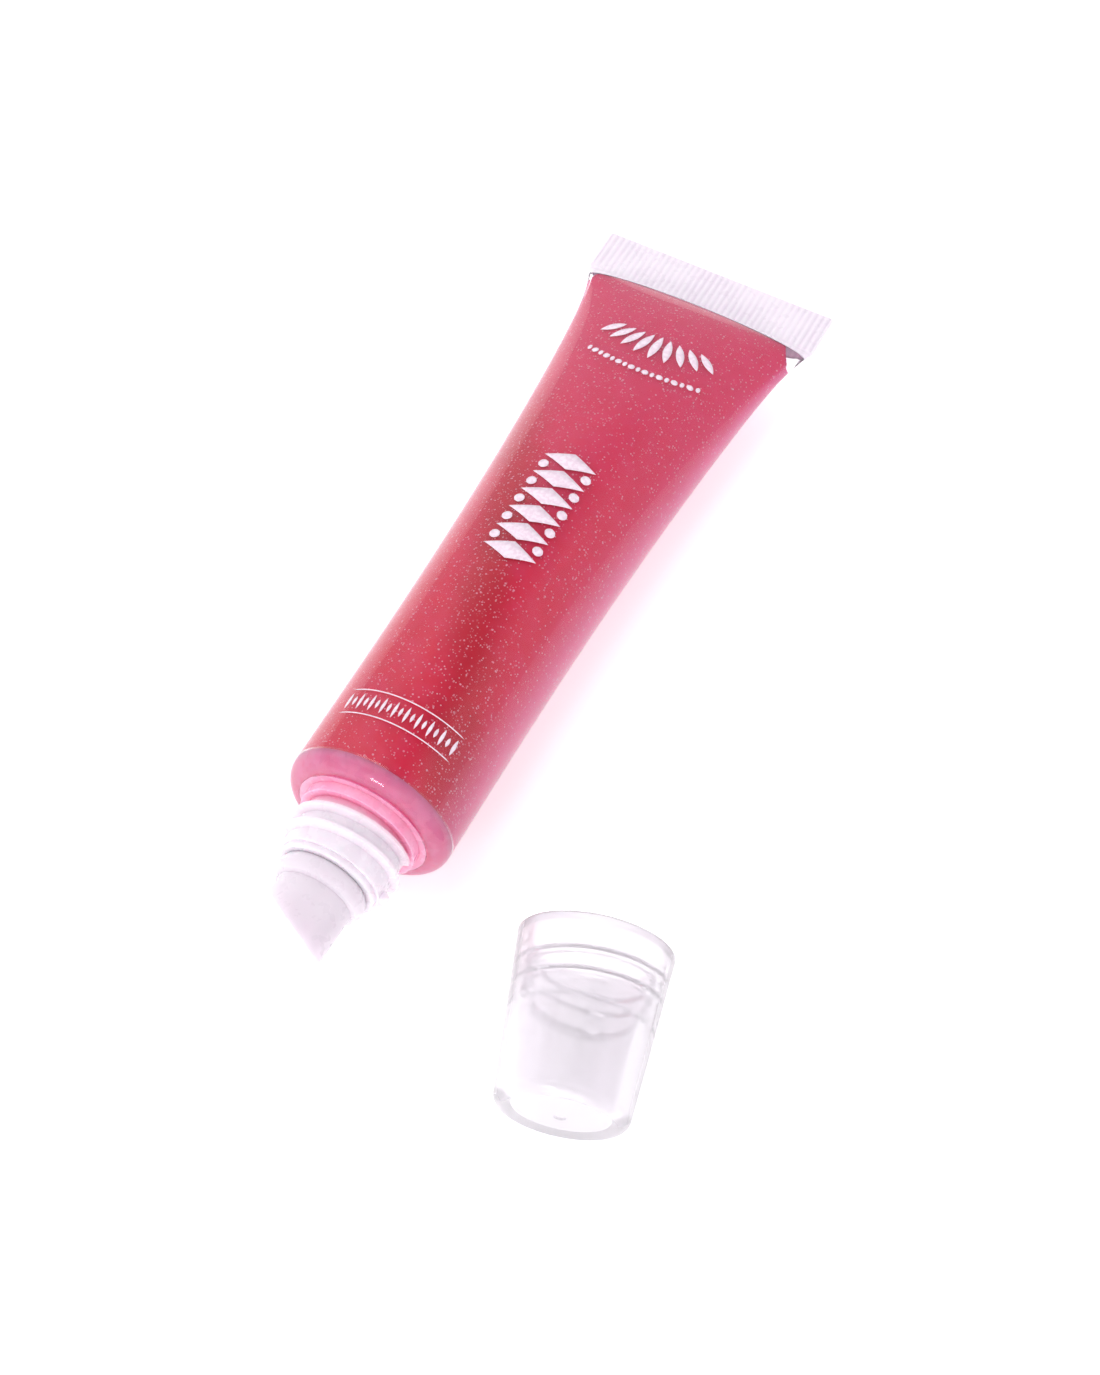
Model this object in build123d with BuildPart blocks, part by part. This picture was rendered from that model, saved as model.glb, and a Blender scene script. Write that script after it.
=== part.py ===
from build123d import *
import os
from math import asin, cos, pi, radians, sin, sqrt

# A 15 ml squeeze tube of lip gloss, lying on its belly, with its screw cap taken off and laid beside it.
# Millimetres. The tube lies along Y with its sealed end towards +Y, and the floor is z = 0.
# Each piece is made upright and then laid in place. The tube's pieces are made with z up the neck from
# the shoulder's face, and the cap's with z from its closed end to its rim.

# Sleeve: round at the shoulder, flat at the seal
SLEEVE_R = 9.5
WALL = 0.45
SHOULDER_ROUND = 2.0
ROUND_UNTIL = 12.0
SEALED_AT = 81.1
SEAL_LENGTH = 5.9
SEAL_THICK = 0.9
SEAL_HALF_WIDTH = pi * SLEEVE_R / 2 - 0.1
SEAL_RIBS = 38
RIB_DEPTH = 0.13
# The soft belly is pressed flat by this much where it rests
BELLY_FLAT = 0.08
STATIONS = (0.0, 0.15, 0.3, 0.45, 0.6, 0.72, 0.82, 0.9, 0.95, 0.98, 0.993, 0.999)
CAVITY_STATIONS = len(STATIONS) - 1

# Shoulder and threaded neck
SHOULDER_THICK = 2.2
COLLAR_R = 6.7
COLLAR_TOP = 1.15
NECK_R = 5.85
NECK_BORE_R = 4.4
LIP_R = 5.5
LIP_FROM = 6.9
LIP_BEVEL = 0.15
NECK_TOP = 7.6
THREAD_R = 6.6
PITCH = 2.2
NECK_THREAD_FROM = 1.9
NECK_THREAD_LENGTH = 2 * PITCH
NECK_RIDGE_FOOT = 1.15
NECK_RIDGE_CREST = 0.4
RIDGE_SINK = 0.05

# Applicator tip, pressed into the neck, with a slanted face
TIP_PLUG_FROM = 0.6
TIP_BEAD_R = 5.1
TIP_BEAD_EDGE_R = 4.7
TIP_BEAD_TOP = 9.7
TIP_FOOT_R = 4.25
TIP_FOOT = 9.9
TIP_END_R = 4.05
TIP_BLANK_END = 17.5
TIP_AXIS_LENGTH = 14.0
CUT_ANGLE = 31.7
CUT_LONG_SIDE = 24.6
CUT_EDGE_ROUND = 0.12
CHANNEL_R = 0.9
CHANNEL_FROM = 10.6
FUNNEL_R = 3.4
FUNNEL_TO = 8.6

# Gloss: the fill, and the bead in the tip's channel, which draws back into a bore in the fill
FILL_GAP = 0.02
BEAD_R = 0.8
BEAD_MIDDLE = 11.9
BEAD_HALF_LENGTH = 0.7
BEAD_END_ROUND = 0.5
BORE_SPARE = 0.4

# Screw cap
CAP_LENGTH = 18.6
CAP_RIM_R = 8.2
CAP_END_R = 6.9
CAP_END_ROUND = 1.3
CAP_RIM_ROUND = 0.2
CAP_FLOOR = 1.4
CAP_BORE_R = 6.87
CAP_BORE_DEPTH = 8.0
CAP_RIM_BEVEL = 0.5
CHAMBER_R = 5.6
CHAMBER_FLOOR_R = 5.1
CHAMBER_ROUND = 0.8
CAP_RIDGE_CREST_R = 6.08
CAP_RIDGE_FOOT = 0.85
CAP_RIDGE_CREST = 0.35
CAP_THREAD_LENGTH = 2.5 * PITCH
GATE_R = 0.7
GATE_DEPTH = 0.15
SEAL_RING_BORE_R = 5.3
SEAL_RING_R = 6.0
SEAL_RING_THICK = 0.45

# The closed cap's rim stands this far up the neck, and its ridge runs midway between the neck's ridges
RIM_GAP = 0.1
CAP_THREAD_FROM = RIM_GAP + CAP_LENGTH - (NECK_THREAD_FROM + 2.5 * PITCH)

# How the two lie on the floor: the tube's tilt, and the cap's closed end and heading seen from above
TILT = 1.5
HEAD_X = -12.0
HEAD_Y = -33.57
CAP_END_OFFSET_X = 32.4
CAP_END_OFFSET_Y = -18.2
CAP_HEADING = 15.7
# The cap travels this far off the neck, in whole turns of its thread, before it swings aside
CAP_TRAVEL = 12 * PITCH


def half_thickness(u):
    """Half the sleeve's thickness, u running from 0 where it is round to 1 at the seal."""
    return SLEEVE_R * sqrt(1 - u ** 2.5)


def half_width(u):
    """Half the sleeve's width: it spreads slowly at first and flares at the seal."""
    spread = 0.75 * u ** 2.2 + 0.25 * u ** 20
    return SLEEVE_R + (SEAL_HALF_WIDTH - SLEEVE_R) * spread


def down_sleeve(u):
    """How far down the sleeve from the shoulder's face u is."""
    return ROUND_UNTIL + (SEALED_AT - ROUND_UNTIL) * u


def sleeve_sections(inset, count):
    """Ellipses down the sleeve's tapering stretch, inset from its outside."""
    sections = []
    for u in STATIONS[:count]:
        with BuildSketch(Plane.XY.offset(-down_sleeve(u))) as station:
            Ellipse(half_width(u) - inset, half_thickness(u) - inset)
        sections.append(station.sketch)
    return sections


def shoulder_section(inset):
    """Half the section of the sleeve's round stretch, with its rounded shoulder, inset from its outside."""
    r = SLEEVE_R - inset
    bend = SHOULDER_ROUND - inset
    with BuildSketch(Plane.XZ) as section:
        with BuildLine():
            Line((r, -ROUND_UNTIL), (r, -SHOULDER_ROUND))
            RadiusArc((r, -SHOULDER_ROUND), (r - bend, -inset), -bend)
            Polyline((r - bend, -inset), (0, -inset), (0, -ROUND_UNTIL), (r, -ROUND_UNTIL))
        make_face()
    return section.sketch


def ridge(start, foot_r, crest_r, foot, crest):
    """A thread ridge's section on the x axis, its foot sunk a little into the wall that it stands on."""
    sunk_r = foot_r - RIDGE_SINK if crest_r > foot_r else foot_r + RIDGE_SINK
    with BuildSketch(Plane((0, 0, start), x_dir=(1, 0, 0), z_dir=(0, 1, 0))) as section:
        with BuildLine():
            Polyline((sunk_r, -foot / 2), (crest_r, -crest / 2), (crest_r, crest / 2), (sunk_r, foot / 2),
                     close=True)
        make_face()
    return section.sketch


# The belly rests on the floor, so the axis is as high at the shoulder as its lowest place needs
slope = radians(TILT)
LOWEST = max(half_thickness(i / 200) * cos(slope) + down_sleeve(i / 200) * sin(slope)
             for i in range(200))
AXIS_HEIGHT = LOWEST - BELLY_FLAT
neck_dir = Vector(0, -cos(slope), sin(slope))
neck = Plane(origin=(HEAD_X, HEAD_Y, AXIS_HEIGHT), x_dir=(1, 0, 0), z_dir=neck_dir)

# The cap lies on its cone, with its rim towards the seal
cone_angle = asin((CAP_RIM_R - CAP_END_R) / CAP_LENGTH)
heading = radians(CAP_HEADING)
laid_dir = Vector(-sin(heading) * cos(cone_angle), cos(heading) * cos(cone_angle), sin(cone_angle))
laid_end = Vector(HEAD_X + CAP_END_OFFSET_X, HEAD_Y + CAP_END_OFFSET_Y, CAP_END_R * cos(cone_angle))
laid_rim = laid_end + laid_dir * CAP_LENGTH

# The one turn that takes the cap there from straight in front of the neck, and the cap's frame after it
off_rim = neck.origin + neck_dir * (RIM_GAP + CAP_TRAVEL)
off_end = off_rim + neck_dir * CAP_LENGTH
swing_dir = (laid_rim - off_rim).cross(laid_end - off_end).normalized()
off_square = neck_dir * -1 + swing_dir * neck_dir.dot(swing_dir)
laid_square = laid_dir - swing_dir * laid_dir.dot(swing_dir)
SWING_ANGLE = off_square.get_signed_angle(laid_square, swing_dir)
cap_x = Vector(1, 0, 0).rotate(Axis((0, 0, 0), swing_dir), SWING_ANGLE)
cap = Plane(origin=laid_end, x_dir=cap_x, z_dir=laid_dir)

os.makedirs("parts", exist_ok=True)

# The clear sleeve, open round the shoulder and pressed flat between ribbed jaws at the other end
with BuildPart() as sleeve:
    loft(sections=sleeve_sections(0, len(STATIONS)))
    revolve(shoulder_section(0), axis=Axis.Z)
    with BuildSketch(Plane.XY.offset(-SEALED_AT - SEAL_LENGTH)):
        with BuildLine():
            rib = 2 * SEAL_HALF_WIDTH / SEAL_RIBS
            crests = [(-SEAL_HALF_WIDTH + rib * i / 2, SEAL_THICK / 2 - RIB_DEPTH * (i % 2))
                      for i in range(2 * SEAL_RIBS + 1)]
            Polyline(*crests, *[(x, -y) for x, y in reversed(crests)], close=True)
        make_face()
    extrude(amount=SEAL_LENGTH + 0.3)
    loft(sections=sleeve_sections(WALL, CAVITY_STATIONS), mode=Mode.SUBTRACT)
    revolve(shoulder_section(WALL), axis=Axis.Z, mode=Mode.SUBTRACT)
    with BuildSketch(Plane.XY.offset(-WALL)):
        Circle(SLEEVE_R - SHOULDER_ROUND)
    extrude(amount=WALL, mode=Mode.SUBTRACT)
    # The floor, seen in the sleeve's own frame
    up = Vector(0, cos(slope), sin(slope))
    split(bisect_by=Plane(origin=up * -AXIS_HEIGHT, z_dir=up), keep=Keep.TOP)
sleeve.part.label = "sleeve"
sleeve.part.move(neck.location)
export_step(sleeve.part, "parts/sleeve.step")

# The shoulder and neck are one moulding, welded into the sleeve
with BuildPart() as tube_head:
    with BuildSketch(Plane.XZ):
        with BuildLine():
            Line((SLEEVE_R - WALL, -SHOULDER_THICK), (SLEEVE_R - WALL, -SHOULDER_ROUND))
            RadiusArc((SLEEVE_R - WALL, -SHOULDER_ROUND), (SLEEVE_R - SHOULDER_ROUND, -WALL),
                      WALL - SHOULDER_ROUND)
            Polyline((SLEEVE_R - SHOULDER_ROUND, -WALL), (SLEEVE_R - SHOULDER_ROUND, 0), (COLLAR_R, 0),
                     (COLLAR_R, COLLAR_TOP), (NECK_R, COLLAR_TOP), (NECK_R, LIP_FROM), (LIP_R, LIP_FROM),
                     (LIP_R, NECK_TOP - LIP_BEVEL), (LIP_R - LIP_BEVEL, NECK_TOP), (NECK_BORE_R, NECK_TOP),
                     (NECK_BORE_R, -SHOULDER_THICK), (SLEEVE_R - WALL, -SHOULDER_THICK))
        make_face()
    revolve(axis=Axis.Z)
    with BuildLine(Plane.XY.offset(NECK_THREAD_FROM)) as neck_helix:
        Helix(PITCH, NECK_THREAD_LENGTH, NECK_R)
    neck_ridge = ridge(NECK_THREAD_FROM, NECK_R, THREAD_R, NECK_RIDGE_FOOT, NECK_RIDGE_CREST)
    sweep(sections=neck_ridge, path=neck_helix.line, is_frenet=True)
tube_head.part.label = "tube_head"
tube_head.part.move(neck.location)
export_step(tube_head.part, "parts/tube_head.step")

# The applicator: a plug, a bead that stops on the neck's lip, and a tip cut on the slant
slant = radians(CUT_ANGLE)
long_side = radians(CUT_LONG_SIDE)
cut_normal = (-sin(slant) * cos(long_side), -sin(slant) * sin(long_side), cos(slant))
with BuildPart() as applicator_tip:
    with BuildSketch(Plane.XZ):
        with BuildLine():
            Polyline((FUNNEL_R, TIP_PLUG_FROM), (NECK_BORE_R, TIP_PLUG_FROM), (NECK_BORE_R, NECK_TOP),
                     (TIP_BEAD_EDGE_R, NECK_TOP))
            ThreePointArc((TIP_BEAD_EDGE_R, NECK_TOP), (TIP_BEAD_R, (NECK_TOP + TIP_BEAD_TOP) / 2),
                          (TIP_BEAD_EDGE_R, TIP_BEAD_TOP))
            Polyline((TIP_BEAD_EDGE_R, TIP_BEAD_TOP), (TIP_FOOT_R, TIP_FOOT), (TIP_END_R, TIP_BLANK_END),
                     (CHANNEL_R, TIP_BLANK_END), (CHANNEL_R, CHANNEL_FROM), (FUNNEL_R, FUNNEL_TO),
                     (FUNNEL_R, TIP_PLUG_FROM))
        make_face()
    revolve(axis=Axis.Z)
    split(bisect_by=Plane((0, 0, TIP_AXIS_LENGTH), z_dir=cut_normal), keep=Keep.BOTTOM)
    face_rim = applicator_tip.faces().sort_by(Axis.Z)[-1].outer_wire().edges()
    fillet(face_rim, radius=CUT_EDGE_ROUND)
applicator_tip.part.label = "applicator_tip"
applicator_tip.part.move(neck.location)
export_step(applicator_tip.part, "parts/applicator_tip.step")

# The gloss fills the sleeve up to the shoulder, apart from the bore that the bead draws back into
with BuildPart() as gloss_fill:
    loft(sections=sleeve_sections(WALL + FILL_GAP, CAVITY_STATIONS))
    with BuildSketch(Plane.XY.offset(-ROUND_UNTIL)):
        Circle(SLEEVE_R - WALL - FILL_GAP)
    extrude(amount=ROUND_UNTIL - SHOULDER_THICK)
    drawn_back_to = BEAD_MIDDLE - BEAD_HALF_LENGTH - CAP_TRAVEL
    with BuildSketch(Plane.XY.offset(drawn_back_to - BORE_SPARE)):
        Circle(CHANNEL_R)
    extrude(amount=-drawn_back_to, mode=Mode.SUBTRACT)
gloss_fill.part.label = "gloss_fill"
gloss_fill.part.move(neck.location)
export_step(gloss_fill.part, "parts/gloss_fill.step")

# The bead of gloss that stands in the channel, just under the slanted face
with BuildPart() as gloss_bead:
    with BuildSketch(Plane.XY.offset(BEAD_MIDDLE - BEAD_HALF_LENGTH)):
        Circle(BEAD_R)
    extrude(amount=2 * BEAD_HALF_LENGTH)
    fillet(gloss_bead.edges().filter_by(GeomType.CIRCLE), radius=BEAD_END_ROUND)
gloss_bead.part.label = "gloss_bead"
gloss_bead.part.move(neck.location)
export_step(gloss_bead.part, "parts/gloss_bead.step")

# The cap: a thick cone with a threaded bore, a step, and a narrower chamber for the applicator tip
with BuildPart() as cap_shell:
    with BuildSketch(Plane.XZ):
        Polygon((0, 0), (CAP_END_R, 0), (CAP_RIM_R, CAP_LENGTH), (0, CAP_LENGTH), align=None)
    revolve(axis=Axis.Z)
    fillet(cap_shell.edges().sort_by(Axis.Z)[0], radius=CAP_END_ROUND)
    fillet(cap_shell.edges().sort_by(Axis.Z)[-1], radius=CAP_RIM_ROUND)
    with BuildSketch(Plane.XZ):
        step = CAP_LENGTH - CAP_BORE_DEPTH
        Polygon((0, CAP_FLOOR), (CHAMBER_FLOOR_R, CAP_FLOOR), (CHAMBER_R, step), (CAP_BORE_R, step),
                (CAP_BORE_R, CAP_LENGTH - CAP_RIM_BEVEL), (CAP_BORE_R + CAP_RIM_BEVEL, CAP_LENGTH),
                (0, CAP_LENGTH), align=None)
    revolve(axis=Axis.Z, mode=Mode.SUBTRACT)
    chamber_floor = cap_shell.edges().filter_by(GeomType.CIRCLE).filter_by_position(
        Axis.Z, CAP_FLOOR - 0.01, CAP_FLOOR + 0.01)
    fillet(chamber_floor, radius=CHAMBER_ROUND)
    with BuildSketch(Plane.XY):
        Circle(GATE_R)
    extrude(amount=GATE_DEPTH, mode=Mode.SUBTRACT)
    with BuildLine(Plane.XY.offset(CAP_THREAD_FROM)) as cap_helix:
        Helix(PITCH, CAP_THREAD_LENGTH, CAP_BORE_R)
    cap_ridge = ridge(CAP_THREAD_FROM, CAP_BORE_R, CAP_RIDGE_CREST_R, CAP_RIDGE_FOOT, CAP_RIDGE_CREST)
    sweep(sections=cap_ridge, path=cap_helix.line, is_frenet=True)
cap_shell.part.label = "cap_shell"
cap_shell.part.move(cap.location)
export_step(cap_shell.part, "parts/cap_shell.step")

# The ring on the cap's step that the neck's lip closes on
with BuildPart() as cap_seal:
    with BuildSketch(Plane.XY.offset(CAP_LENGTH - CAP_BORE_DEPTH)):
        Circle(SEAL_RING_R)
        Circle(SEAL_RING_BORE_R, mode=Mode.SUBTRACT)
    extrude(amount=SEAL_RING_THICK)
cap_seal.part.label = "cap_seal"
cap_seal.part.move(cap.location)
export_step(cap_seal.part, "parts/cap_seal.step")
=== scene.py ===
from math import atan2, cos, pi, radians, sin, sqrt

import bmesh
import bpy
from mathutils import Matrix, Vector


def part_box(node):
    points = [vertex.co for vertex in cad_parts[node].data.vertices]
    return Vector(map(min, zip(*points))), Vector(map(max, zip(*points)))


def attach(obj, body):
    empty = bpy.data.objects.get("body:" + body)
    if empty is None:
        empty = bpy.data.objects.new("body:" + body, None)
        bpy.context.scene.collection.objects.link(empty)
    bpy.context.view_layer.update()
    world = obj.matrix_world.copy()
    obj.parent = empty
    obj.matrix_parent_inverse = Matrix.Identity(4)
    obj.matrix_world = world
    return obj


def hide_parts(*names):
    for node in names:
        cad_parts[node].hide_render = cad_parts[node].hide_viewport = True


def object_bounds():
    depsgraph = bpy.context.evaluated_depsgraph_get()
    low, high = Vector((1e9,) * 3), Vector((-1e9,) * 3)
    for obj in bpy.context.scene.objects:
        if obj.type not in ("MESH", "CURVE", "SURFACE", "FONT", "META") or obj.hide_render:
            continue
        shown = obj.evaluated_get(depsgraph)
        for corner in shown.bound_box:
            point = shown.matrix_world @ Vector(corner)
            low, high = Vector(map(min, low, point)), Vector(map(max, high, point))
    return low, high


# A squeeze tube of lip gloss lying on its belly, with its clear screw cap laid beside it. Metres throughout.
# The tube's pieces are shaped upright, with z up the neck from the shoulder's face, then laid in place.

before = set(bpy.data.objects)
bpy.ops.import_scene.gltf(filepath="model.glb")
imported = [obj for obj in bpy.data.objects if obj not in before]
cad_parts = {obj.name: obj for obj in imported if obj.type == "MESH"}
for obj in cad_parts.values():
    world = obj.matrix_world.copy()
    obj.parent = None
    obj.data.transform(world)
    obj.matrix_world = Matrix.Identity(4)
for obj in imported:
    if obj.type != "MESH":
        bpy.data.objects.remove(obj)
cad_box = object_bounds()
MM = 0.001

# The sleeve's form. What is named FROM, UNTIL or AT is a distance down from the shoulder's face.
SLEEVE_LENGTH = 87.0 * MM
SLEEVE_R = 9.5 * MM
WALL = 0.45 * MM
SHOULDER_ROUND = 2.0 * MM
WELD = 0.03 * MM
ROUND_UNTIL = 12.0 * MM
SEALED_AT = 81.1 * MM
BELLY_FLAT = 0.08 * MM
TILT = radians(1.5)
AROUND_SLEEVE = 304

# The seal that the hot jaws press
SEAL_HALF_WIDTH = pi * SLEEVE_R / 2 - 0.1 * MM
SEAL_HALF_THICK = 0.45 * MM
HAZY_FROM = 79.95 * MM
PRESSED_FROM = 80.55 * MM
RIBBED_FROM = 80.95 * MM
SEAL_RIBS = 38
RIB_DEPTH = 0.13 * MM
RIBS_PER_METRE = SEAL_RIBS / (2 * SEAL_HALF_WIDTH)

# The gloss, and the ink printed over it
GLOSS_SINKS = 0.06 * MM
GLOSS_ENDS_AT = 80.05 * MM
AROUND_GLOSS = 152
INK_THICK = 0.03 * MM
INK_LIFT = 0.012 * MM

# The gloss's colours
DEEP_PINK = (0.855, 0.010, 0.075, 1)
SEAL_END_PINK = (0.890, 0.040, 0.170, 1)
CLOUDY_PINK = (0.930, 0.090, 0.290, 1)
# Painted reflection: the darker red of a dark band mirrored in the gloss
DARK_REFLECTION_RED = (0.700, 0.003, 0.038, 1)
# Painted sheen: the paler pink of light at the tube's edges
EDGE_SHEEN_PINK = (0.960, 0.170, 0.440, 1)
ROSE_GLITTER = (1.0, 0.55, 0.72, 1)
PALE_GLITTER = (1.0, 0.75, 0.88, 1)

FLOOR_HALF_SIZE = 1.6


def clamp(value, low=0.0, high=1.0):
    return max(low, min(high, value))


def ease(value):
    t = clamp(value)
    return t * t * (3 - 2 * t)


# ---------------------------------------------------------------- shaping

def along(down):
    """How far the sleeve has gone from round, 0, to sealed flat, 1, at a distance down from the shoulder."""
    return clamp((down - ROUND_UNTIL) / (SEALED_AT - ROUND_UNTIL))


def half_thickness(down):
    return SLEEVE_R * sqrt(max(0.0, 1 - along(down) ** 2.5))


def half_width(down):
    u = along(down)
    return SLEEVE_R + (SEAL_HALF_WIDTH - SLEEVE_R) * (0.75 * u ** 2.2 + 0.25 * u ** 20)


def flattened(down):
    """How evenly the film is spread across, 0 while it is round and 1 where it is sealed flat."""
    return ease((along(down) - 0.55) / 0.45)


# How far the belly hangs below the middle of the shoulder's face, where that middle is, and the move that
# lays the tube's pieces down
sleeve_low, sleeve_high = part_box("sleeve")
LOWEST = max(half_thickness(i * MM) * cos(TILT) + i * MM * sin(TILT) for i in range(80))
HEAD = Vector((
    (sleeve_low[0] + sleeve_high[0]) / 2,
    sleeve_high[1] - SLEEVE_LENGTH * cos(TILT) - SEAL_HALF_THICK * sin(TILT),
    LOWEST - BELLY_FLAT,
))
LAY_TUBE = Matrix((
    (1, 0, 0, HEAD.x),
    (0, sin(TILT), -cos(TILT), HEAD.y),
    (0, cos(TILT), sin(TILT), HEAD.z),
    (0, 0, 0, 1),
))


def round_the_sleeve(turn, wide, thick, flatness):
    """A place on a squashed circle, where points spread evenly as the film flattens."""
    even = 1 - 2 * turn / pi if turn >= 0 else 1 + 2 * turn / pi
    across = (1 - flatness) * cos(turn) + flatness * even
    up = sqrt(max(0.0, 1 - across * across))
    return wide * across, (thick * up if turn >= 0 else -thick * up)


def seal_rib(x):
    """How deep the jaw's groove is at a place across the seal, 0 on a ridge and 1 in a groove."""
    ribs = (x / SEAL_HALF_WIDTH + 1) / 2 * SEAL_RIBS
    return 1 - abs(2 * (ribs % 1) - 1)


def skin(around, places):
    """A skin through rings. Each item of places turns an angle round the axis into a place on its ring."""
    film = bmesh.new()
    bmesh.ops.create_circle(film, cap_ends=False, segments=around, radius=1)
    edges = film.edges[:]
    for _ in places[1:]:
        grown = bmesh.ops.extrude_edge_only(film, edges=edges)["geom"]
        edges = [part for part in grown if isinstance(part, bmesh.types.BMEdge) and part.is_boundary]
        lifted = [part for part in grown if isinstance(part, bmesh.types.BMVert)]
        bmesh.ops.translate(film, verts=lifted, vec=(0, 0, 1))
    for point in film.verts:
        ring = places[round(point.co.z)]
        point.co = ring(atan2(round(point.co.y, 6), round(point.co.x, 6)))
    bmesh.ops.remove_doubles(film, verts=film.verts[:], dist=0.002 * MM)
    bmesh.ops.recalc_face_normals(film, faces=film.faces[:])
    return film


def ring_of(radius, height):
    return lambda turn: Vector((radius * cos(turn), radius * sin(turn), height))


def finished(name, shape, body, finishes, crease=None):
    """Makes a shape a named piece that rides on a body."""
    mesh = bpy.data.meshes.new(name)
    shape.to_mesh(mesh)
    shape.free()
    for face in mesh.polygons:
        face.use_smooth = True
    if crease is not None:
        mesh.set_sharp_from_angle(angle=radians(crease))
    for finish in finishes:
        mesh.materials.append(finish)
    piece = bpy.data.objects.new(name, mesh)
    bpy.context.collection.objects.link(piece)
    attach(piece, body)
    return piece


# ---------------------------------------------------------------- finishes

class Finish:
    """A material and its nodes, with short ways to add and join them."""

    def __init__(self, name, **shader):
        self.material = bpy.data.materials.new(name)
        self.material.use_nodes = True
        self.nodes = self.material.node_tree.nodes
        self.shader = self.nodes["Principled BSDF"]
        for socket, value in shader.items():
            self.shader.inputs[socket.replace("_", " ")].default_value = value

    def add(self, kind, settings=None, **inputs):
        made = self.nodes.new(kind)
        for name, value in (settings or {}).items():
            setattr(made, name, value)
        for name, value in inputs.items():
            self.feed(made, name.replace("_", " "), value)
        return made

    def feed(self, node, socket, value):
        if isinstance(value, bpy.types.NodeSocket):
            self.material.node_tree.links.new(value, node.inputs[socket])
        else:
            node.inputs[socket].default_value = value

    def place(self):
        return self.add("ShaderNodeTexCoord").outputs["Object"]

    def math(self, operation, *values):
        made = self.add("ShaderNodeMath", {"operation": operation})
        for index, value in enumerate(values):
            self.feed(made, index, value)
        return made.outputs[0]

    def mix(self, amount, first, second):
        made = self.add("ShaderNodeMix", {"data_type": "RGBA"})
        self.feed(made, 0, amount)
        self.feed(made, 6, first)
        self.feed(made, 7, second)
        return made.outputs[2]

    def span(self, value, low, high, to_low=0.0, to_high=1.0, kind="SMOOTHSTEP"):
        made = self.add("ShaderNodeMapRange", {"interpolation_type": kind})
        for index, number in enumerate((value, low, high, to_low, to_high)):
            self.feed(made, index, number)
        return made.outputs[0]

    def noise(self, scale, detail=3.0):
        made = self.add("ShaderNodeTexNoise", Vector=self.place(), Scale=scale, Detail=detail, Roughness=0.5)
        return made.outputs[0]

    def bump(self, height, distance, strength):
        made = self.add("ShaderNodeBump", Height=height, Distance=distance, Strength=strength)
        self.feed(self.shader, "Normal", made.outputs[0])


def gloss_finish():
    """Deep pink gloss: cloudy, lighter towards the seal, with pale glitter, thickest in a darker band that is
    a painted reflection, and a painted sheen on the flanks.
    """
    gloss = Finish("pink_glitter_gloss", Roughness=0.35, Subsurface_Weight=0.35, Subsurface_Scale=1.4 * MM,
                   Subsurface_Radius=(1.0, 0.34, 0.62))
    spot = gloss.add("ShaderNodeSeparateXYZ", Vector=gloss.place())
    x, y = spot.outputs[0], spot.outputs[1]
    towards_seal = gloss.span(y, -20 * MM, 45 * MM)
    body = gloss.mix(towards_seal, DEEP_PINK, SEAL_END_PINK)
    # A darker band, a painted reflection of a dark part of the room, slants from the left side to the right
    # of the shoulder, and fades out on its way to the seal
    line = gloss.math("ADD", x, gloss.math("MULTIPLY", y, 0.33))
    off_dark_band = gloss.math("ABSOLUTE", gloss.math("ADD", line, 14 * MM))
    wander = gloss.math("MULTIPLY_ADD", gloss.noise(90.0), 6 * MM, off_dark_band)
    dark_band = gloss.span(wander, 3.5 * MM, 7.5 * MM, 1.0, 0.0)
    lengthwise = gloss.span(y, 5 * MM, 35 * MM, 1.0, 0.0)
    dark_band = gloss.math("MULTIPLY", dark_band, lengthwise)
    cloud = gloss.span(gloss.noise(420.0, 4.0), 0.35, 0.7, 0.0, 0.18)
    body = gloss.mix(cloud, body, CLOUDY_PINK)
    # Painted reflection: the gloss is painted darker red along the band
    body = gloss.mix(gloss.math("MULTIPLY", dark_band, 0.95), body, DARK_REFLECTION_RED)
    # Painted sheen: where the gloss faces sideways it is painted paler and cooler, standing in for light at
    # the tube's edges
    facing = gloss.add("ShaderNodeSeparateXYZ", Vector=gloss.add("ShaderNodeNewGeometry").outputs["Normal"])
    painted_edge_sheen = gloss.span(facing.outputs[2], 0.05, 0.80, 0.85, 0.0)
    body = gloss.mix(painted_edge_sheen, body, EDGE_SHEEN_PINK)
    # A flake shows where its chance is above what is needed, which is less in the painted dark band
    glitter = ((2900.0, 0.91, 0.08, ROSE_GLITTER), (4300.0, 0.84, 0.12, PALE_GLITTER))
    for scale, share, band_extra, colour in glitter:
        flakes = gloss.add("ShaderNodeTexVoronoi", Vector=gloss.place(), Scale=scale, Randomness=1.0)
        chance = gloss.add("ShaderNodeSeparateXYZ", Vector=flakes.outputs["Color"])
        needed = gloss.math("SUBTRACT", share, gloss.math("MULTIPLY", dark_band, band_extra))
        picked = gloss.math("GREATER_THAN", chance.outputs[0], needed)
        near = gloss.span(flakes.outputs["Distance"], 0.22, 0.46, 1.0, 0.0)
        shine = gloss.span(chance.outputs[1], 0.0, 1.0, 0.12, 0.85, "LINEAR")
        flake = gloss.math("MULTIPLY", gloss.math("MULTIPLY", picked, near), shine)
        body = gloss.mix(flake, body, colour)
    gloss.feed(gloss.shader, "Base Color", body)
    gloss.bump(gloss.noise(900.0, 2.0), 0.03 * MM, 0.4)
    return gloss.material


def clear_film_finish():
    film = Finish("clear_film", IOR=1.47, Transmission_Weight=1.0, Base_Color=(0.995, 0.985, 0.995, 1))
    film.feed(film.shader, "Roughness", film.span(film.noise(160.0), 0.3, 0.8, 0.015, 0.07))
    film.bump(film.noise(70.0, 1.0), 0.25 * MM, 0.12)
    return film.material


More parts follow.
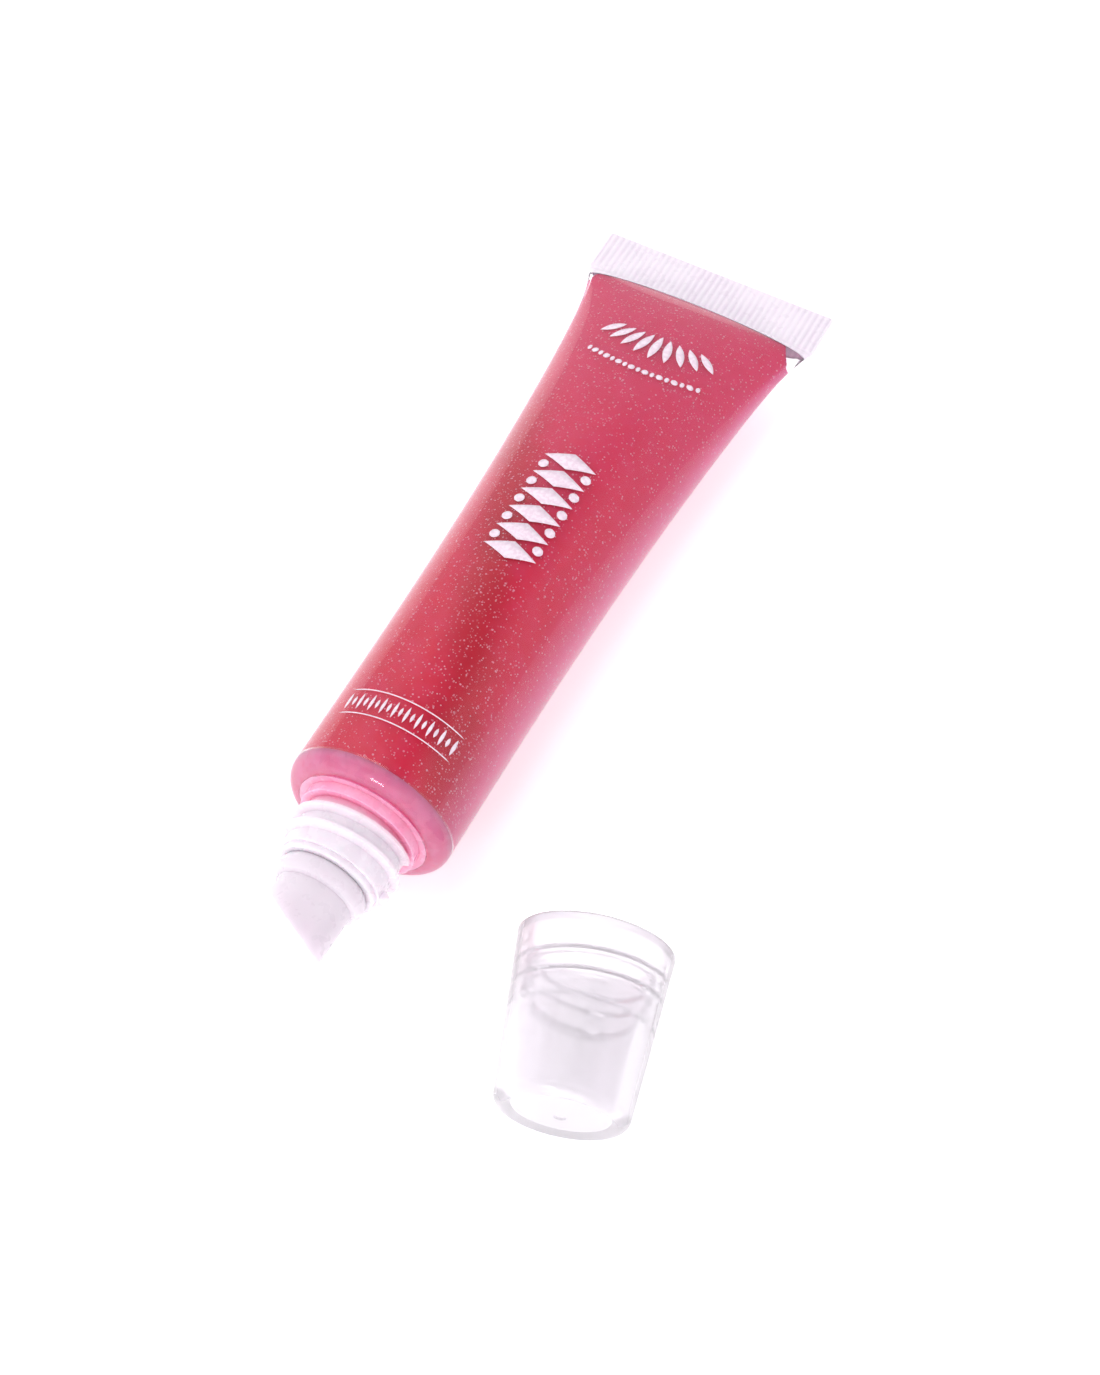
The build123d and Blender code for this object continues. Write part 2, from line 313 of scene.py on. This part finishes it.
def pressed_seal_finish():
    """The film where the hot jaws pressed it: whitish and hazy, with shade painted darker down the grooves.
    """
    seal = Finish("pressed_seal", IOR=1.47, Subsurface_Weight=0.6, Subsurface_Scale=0.3 * MM,
                  Subsurface_Radius=(1.0, 0.85, 0.95))
    spot = seal.add("ShaderNodeSeparateXYZ", Vector=seal.place())
    ribs = seal.math("MULTIPLY_ADD", spot.outputs[0], RIBS_PER_METRE, SEAL_RIBS / 2 - HEAD.x * RIBS_PER_METRE)
    # Painted shade: the grooves between the ribs are painted darker, patchily
    painted_groove_shade = seal.math("PINGPONG", seal.math("MULTIPLY", ribs, 2.0), 1.0)
    patchy = seal.span(seal.noise(260.0, 4.0), 0.35, 0.7, 0.25, 1.0)
    painted_groove_shade = seal.math("MULTIPLY", painted_groove_shade, patchy)
    seal.feed(seal.shader, "Base Color", seal.mix(painted_groove_shade, (0.880, 0.825, 0.885, 1), (0.770, 0.700, 0.780, 1)))
    seal.feed(seal.shader, "Roughness", seal.span(seal.noise(900.0), 0.3, 0.7, 0.25, 0.4))
    return seal.material


def frosted_finish():
    """The shoulder and neck: frosty plastic, plain up the neck, pink at the shoulder from the gloss."""
    frost = Finish("frosted_neck_plastic", IOR=1.5, Subsurface_Weight=0.9,
                   Subsurface_Scale=1.5 * MM, Subsurface_Radius=(1.0, 0.75, 0.85))
    spot = frost.add("ShaderNodeSeparateXYZ", Vector=frost.place())
    cloudy = frost.span(frost.noise(380.0), 0.3, 0.7)
    plain = frost.mix(cloudy, (0.80, 0.73, 0.79, 1), (0.85, 0.78, 0.84, 1))
    collar = frost.mix(cloudy, (0.90, 0.36, 0.53, 1), (0.90, 0.44, 0.60, 1))
    shoulder = frost.mix(cloudy, (1.00, 0.22, 0.42, 1), (1.00, 0.28, 0.50, 1))
    colour = frost.mix(frost.span(spot.outputs[1], HEAD.y - 2.6 * MM, HEAD.y - 0.9 * MM), plain, collar)
    colour = frost.mix(frost.span(spot.outputs[1], HEAD.y + 0.1 * MM, HEAD.y + 0.4 * MM), colour, shoulder)
    frost.feed(frost.shader, "Base Color", colour)
    frost.feed(frost.shader, "Roughness", frost.span(frost.noise(700.0), 0.3, 0.7, 0.22, 0.32))
    return frost.material


def milky_finish():
    milky = Finish("milky_tip_plastic", IOR=1.5, Subsurface_Weight=0.9, Subsurface_Scale=1.6 * MM,
                   Subsurface_Radius=(1.0, 0.86, 0.92))
    tone = milky.span(milky.noise(240.0), 0.3, 0.7)
    colour = milky.mix(tone, (0.730, 0.670, 0.725, 1), (0.770, 0.710, 0.765, 1))
    milky.feed(milky.shader, "Base Color", colour)
    milky.feed(milky.shader, "Roughness", milky.span(milky.noise(800.0), 0.3, 0.7, 0.24, 0.38))
    milky.bump(milky.noise(1800.0), 0.02 * MM, 0.35)
    return milky.material


def cap_finish():
    cap = Finish("clear_cap_plastic", IOR=1.45, Transmission_Weight=0.70, Base_Color=(0.985, 0.960, 0.990, 1))
    cap.feed(cap.shader, "Roughness", cap.span(cap.noise(260.0), 0.3, 0.75, 0.03, 0.09))
    cap.bump(cap.noise(120.0, 1.0), 0.15 * MM, 0.15)
    return cap.material


def seal_ring_finish():
    ring = Finish("cap_seal_plastic", IOR=1.49, Transmission_Weight=0.9, Base_Color=(0.965, 0.945, 0.970, 1))
    ring.feed(ring.shader, "Roughness", ring.span(ring.noise(500.0), 0.3, 0.7, 0.10, 0.22))
    return ring.material


def print_finish():
    ink = Finish("white_lilac_print", Roughness=0.42)
    worn = ink.span(ink.noise(2400.0, 4.0), 0.36, 0.64)
    ink.feed(ink.shader, "Base Color", ink.mix(worn, (0.800, 0.640, 0.740, 1), (0.900, 0.790, 0.865, 1)))
    ink.feed(ink.shader, "Roughness", ink.span(worn, 0.0, 1.0, 0.34, 0.5, "LINEAR"))
    return ink.material


# ---------------------------------------------------------------- the tube

def sleeve_outside(down):
    """A ring of the sleeve's outside, which the jaws have pressed into ribs past the seal line."""
    flatness = flattened(down)
    wide = half_width(down)
    thick = half_thickness(down)
    pressed = ease((down - PRESSED_FROM) / (0.4 * MM))
    ribbed = ease((down - RIBBED_FROM) / (0.35 * MM)) * ease((SLEEVE_LENGTH - down) / (0.15 * MM) + 0.6)

    def place(turn):
        x, y = round_the_sleeve(turn, wide, thick, flatness)
        if abs(x) < wide * 0.9999:
            slab = pressed * (SEAL_HALF_THICK - RIB_DEPTH * ribbed * seal_rib(x))
            y = max(abs(y), slab) * (1 if turn >= 0 else -1)
        return Vector((x, y, -down))
    return place


def sleeve_inside(down):
    flatness = flattened(down)
    wide = half_width(down) - WALL
    thick = max(half_thickness(down) - WALL, 0.0)

    def place(turn):
        x, y = round_the_sleeve(turn, wide, thick, flatness)
        return Vector((x, y, -down))
    return place


def flat_ring(down):
    """A ring pressed shut, which closes a skin in a straight line."""
    def place(turn):
        even = 1 - 2 * abs(turn) / pi
        return Vector((half_width(down) * even, 0, -down))
    return place


def pinched(ring):
    def place(turn):
        spot = ring(turn)
        return Vector((spot.x, 0, spot.z))
    return place


def steps(first, last, count):
    return [first + (last - first) * i / count for i in range(count + 1)]


def make_sleeve():
    """The clear film: outside from the seal's end to the shoulder, round the mouth, and inside back."""
    pressed = [SLEEVE_LENGTH, SLEEVE_LENGTH - 0.1 * MM, SLEEVE_LENGTH - 0.25 * MM]
    pressed += steps(SLEEVE_LENGTH - 1.0 * MM, 81.6 * MM, 5)
    closing = steps(81.4 * MM, 80.4 * MM, 10) + steps(80.15 * MM, 77.5 * MM, 9)
    body = steps(76.5 * MM, ROUND_UNTIL, 44) + steps(10.0 * MM, SHOULDER_ROUND, 4)
    rings = [flat_ring(SLEEVE_LENGTH)]
    rings += [sleeve_outside(down) for down in pressed + closing + body]
    bend = SLEEVE_R - SHOULDER_ROUND
    for i in range(1, 9):
        turn = pi / 2 * i / 8
        rings.append(ring_of(bend + SHOULDER_ROUND * cos(turn), -SHOULDER_ROUND + SHOULDER_ROUND * sin(turn)))
    rings.append(ring_of(bend - WELD, 0))
    inner = SHOULDER_ROUND - WALL - WELD
    for i in range(7):
        turn = pi / 2 * (6 - i) / 6
        edge = bend - WELD if i == 0 else bend + inner * cos(turn)
        rings.append(ring_of(edge, -SHOULDER_ROUND + inner * sin(turn)))
    rings.append(sleeve_inside(2.3 * MM))
    inside = steps(4.0 * MM, ROUND_UNTIL, 4) + steps(13.5 * MM, 76.5 * MM, 42)
    inside += steps(77.5 * MM, 80.8 * MM, 11)
    rings += [sleeve_inside(down) for down in inside]
    rings.append(pinched(sleeve_inside(80.95 * MM)))
    film = skin(AROUND_SLEEVE, rings)
    for face in film.faces:
        face.material_index = 1 if face.calc_center_median().z < -HAZY_FROM else 0
    film.transform(LAY_TUBE)
    for point in film.verts:
        point.co.z = max(point.co.z, 0)
    finishes = [clear_film_finish(), pressed_seal_finish()]
    sleeve = finished("sleeve_film", film, "tube", finishes, 50)
    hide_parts("sleeve")


def gloss_ring(down, inset, shrink=1.0):
    """A ring of the gloss. Its corner at the seal is rounded on the left and clipped on the right."""
    flatness = flattened(down)
    wide = half_width(down) - inset
    thick = (half_thickness(down) - inset) * shrink
    left = wide - 1.3 * MM * clamp((down - 78.6 * MM) / (1.5 * MM)) ** 2
    right = wide - 2.3 * MM * clamp((down - 77.2 * MM) / (2.8 * MM))

    def place(turn):
        x, y = round_the_sleeve(turn, wide, thick, flatness)
        return Vector((clamp(x, -left, right), y, -down))
    return place


def make_gloss():
    """The gloss, sunk a little into the film so that no air shows between, and up into the neck's bore."""
    sunk = WALL - GLOSS_SINKS
    rings = [pinched(gloss_ring(GLOSS_ENDS_AT, sunk, 0.4))]
    for down, shrink in ((80.05, 0.45), (80.0, 0.75), (79.85, 0.93), (79.6, 1.0)):
        rings.append(gloss_ring(down * MM, sunk, shrink))
    downs = steps(79.2 * MM, 76.0 * MM, 8) + steps(74.8 * MM, ROUND_UNTIL, 44) + steps(10.0 * MM, 2.6 * MM, 4)
    rings += [gloss_ring(down, sunk) for down in downs]
    # Radius and height in millimetres: under the shoulder, up the neck, into the tip's funnel, and down the
    # bore that the bead draws back into
    neck_fill = (
        (8.95, -2.18), (4.43, -2.16), (4.43, 0.62), (3.43, 0.64), (3.43, 8.55), (0.98, 10.5),
        (0.9, 10.5), (0.9, -15.4), (0.0, -15.4),
    )
    rings += [ring_of(radius * MM, height * MM) for radius, height in neck_fill]
    fill = skin(AROUND_GLOSS, rings)
    fill.transform(LAY_TUBE)
    gloss = finished("gloss", fill, "tube", [PINK], 60)
    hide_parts("gloss_fill")


# ---------------------------------------------------------------- the print

def bar(along_it):
    """A bar with rounded ends."""
    return 1.0 if abs(along_it) < 0.9 else sqrt(max(0.0, 1 - ((abs(along_it) - 0.9) / 0.1) ** 2))


def leaf(along_it):
    return 1 - along_it * along_it


def lozenge(along_it):
    return 1 - abs(along_it)


def dot(along_it):
    return sqrt(max(0.0, 1 - along_it * along_it))


def stamp(sheet, x, down, length, width, turn, outline, cuts=14):
    """One flat mark of the print, x across the tube and down from the shoulder, in millimetres."""
    made = bmesh.ops.create_grid(sheet, x_segments=cuts, y_segments=2, size=1.0)["verts"]
    for point in made:
        point.co.y *= outline(point.co.x)
    place = Matrix.Translation((x * MM, down * MM, 0)) @ Matrix.Rotation(radians(turn), 4, "Z")
    place = place @ Matrix.Diagonal((length / 2 * MM, width / 2 * MM, 1, 1))
    bmesh.ops.transform(sheet, matrix=place, verts=made)


def wrapped(sheet):
    """Lays flat marks on the sleeve's outside."""
    bmesh.ops.remove_doubles(sheet, verts=sheet.verts[:], dist=0.0005 * MM)
    for point in sheet.verts:
        x, down = point.co.x, point.co.y
        wide, thick = half_width(down), half_thickness(down)
        across = x / wide
        up = thick * sqrt(1 - across * across)
        out = Vector((x / wide ** 2, up / thick ** 2, 0)).normalized()
        point.co = Vector((x, up, -down)) + out * INK_LIFT
    sheet.transform(LAY_TUBE)


def make_print():
    """Plain ornament in white-lilac ink: a spray over an arc of dots, a column of lozenges, a fine border."""
    sheet = bmesh.new()
    for i in range(-4, 5):
        reach = 4.4 - 0.32 * abs(i)
        lean = 90 + i * 13
        stamp(sheet, i * 1.5, 68.2 + 0.09 * i * i, reach, 1.0, lean, leaf)
    for i in range(-8, 9):
        stamp(sheet, i * 0.86, 63.6 + 0.026 * i * i, 0.8, 0.8 if i % 2 else 0.5, 90, dot, 8)
    for i in range(6):
        stamp(sheet, 0, 32.4 + i * 2.85, 6.3, 2.5, 0, lozenge, 24)
    for i in range(5):
        for side in (-1, 1):
            stamp(sheet, side * 2.6, 33.825 + i * 2.85, 1.2, 1.2, 45, dot, 8)
    for i in range(-9, 10):
        stamp(sheet, i * 0.68, 8.6, 2.1 if i % 2 else 1.2, 0.34, 90, leaf, 10)
    for down in (7.0, 10.2):
        stamp(sheet, 0, down, 12.9, 0.13, 0, bar, 36)
    wrapped(sheet)
    marks = finished("printed_ornament", sheet, "tube", [print_finish()])
    body = marks.modifiers.new("ink", "SOLIDIFY")
    body.thickness = INK_THICK
    body.offset = 0


# ---------------------------------------------------------------- the stage

def make_floor(height):
    floor = bmesh.new()
    bmesh.ops.create_grid(floor, x_segments=2, y_segments=2, size=FLOOR_HALF_SIZE)
    floor.transform(Matrix.Translation((0, 0, height)))
    mesh = bpy.data.meshes.new("floor")
    floor.to_mesh(mesh)
    floor.free()
    paper = Finish("white_paper", Roughness=0.8, Base_Color=(0.92, 0.92, 0.93, 1),
                   Emission_Color=(1, 1, 1, 1), Emission_Strength=0.45)
    mesh.materials.append(paper.material)
    piece = bpy.data.objects.new("floor", mesh)
    bpy.context.collection.objects.link(piece)


def soft_light(name, place, width, depth, power, glints):
    """A lamp that faces the middle of the table. Without glints it isn't mirrored in the glossy pieces."""
    lamp = bpy.data.lights.new(name, "AREA")
    lamp.shape = "RECTANGLE"
    lamp.size = width
    lamp.size_y = depth
    lamp.energy = power
    light = bpy.data.objects.new(name, lamp)
    light.location = place
    light.visible_glossy = glints
    light.rotation_euler = (-Vector(place)).to_track_quat("-Z", "Y").to_euler()
    bpy.context.collection.objects.link(light)


def light_the_room():
    world = bpy.data.worlds.new("studio")
    bpy.context.scene.world = world
    world.use_nodes = True
    nodes, links = world.node_tree.nodes, world.node_tree.links
    back = nodes["Background"]
    back.inputs["Color"].default_value = (0.985, 0.940, 1.0, 1)
    direction = nodes.new("ShaderNodeTexCoord")
    height = nodes.new("ShaderNodeSeparateXYZ")
    links.new(direction.outputs["Generated"], height.inputs[0])
    rise = nodes.new("ShaderNodeMapRange")
    # The heights are sines: the room is bright up to 37 degrees above the table and dim past 55
    for index, number in enumerate((0.60, 0.82, 1.00, 0.16)):
        rise.inputs[index + 1].default_value = number
    links.new(height.outputs["Z"], rise.inputs[0])
    links.new(rise.outputs[0], back.inputs["Strength"])
    soft_light("key_softbox", (-0.20, 0.05, 0.60), width=0.5, depth=0.5, power=2.3, glints=False)
    soft_light("fill_softbox", (0.35, -0.45, 0.40), width=0.5, depth=0.35, power=0.7, glints=False)
    soft_light("window", (-0.02, -0.42, 0.23), width=0.11, depth=0.08, power=0.36, glints=True)


def place_camera():
    """The camera looks down on the tube from the cap's end."""
    place = Vector((62.97, -142.39, 240.97)) * MM
    forward = Vector((-0.2389, 0.4840, -0.8418)).normalized()
    level = forward.cross(Vector((0, 0, 1))).normalized()
    roll = radians(1.325)
    above = level.cross(forward)
    right = level * cos(roll) + above * sin(roll)
    up = right.cross(forward)
    lens = bpy.data.cameras.new("camera")
    lens.sensor_fit = "VERTICAL"
    lens.sensor_height = 36
    lens.lens = 67.16
    lens.clip_start = 0.01
    camera = bpy.data.objects.new("camera", lens)
    turn = Matrix((right, up, -forward)).transposed().to_4x4()
    camera.matrix_world = Matrix.Translation(place) @ turn
    bpy.context.collection.objects.link(camera)
    bpy.context.scene.camera = camera


def finish_node(node, finish):
    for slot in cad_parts[node].material_slots:
        slot.material = finish


place_camera()
PINK = gloss_finish()
make_sleeve()
make_gloss()
make_print()
finish_node("tube_head", frosted_finish())
finish_node("applicator_tip", milky_finish())
finish_node("gloss_bead", PINK)
finish_node("cap_shell", cap_finish())
finish_node("cap_seal", seal_ring_finish())
make_floor(cad_box[0][2])
light_the_room()
bpy.context.scene.view_settings.view_transform = "Standard"
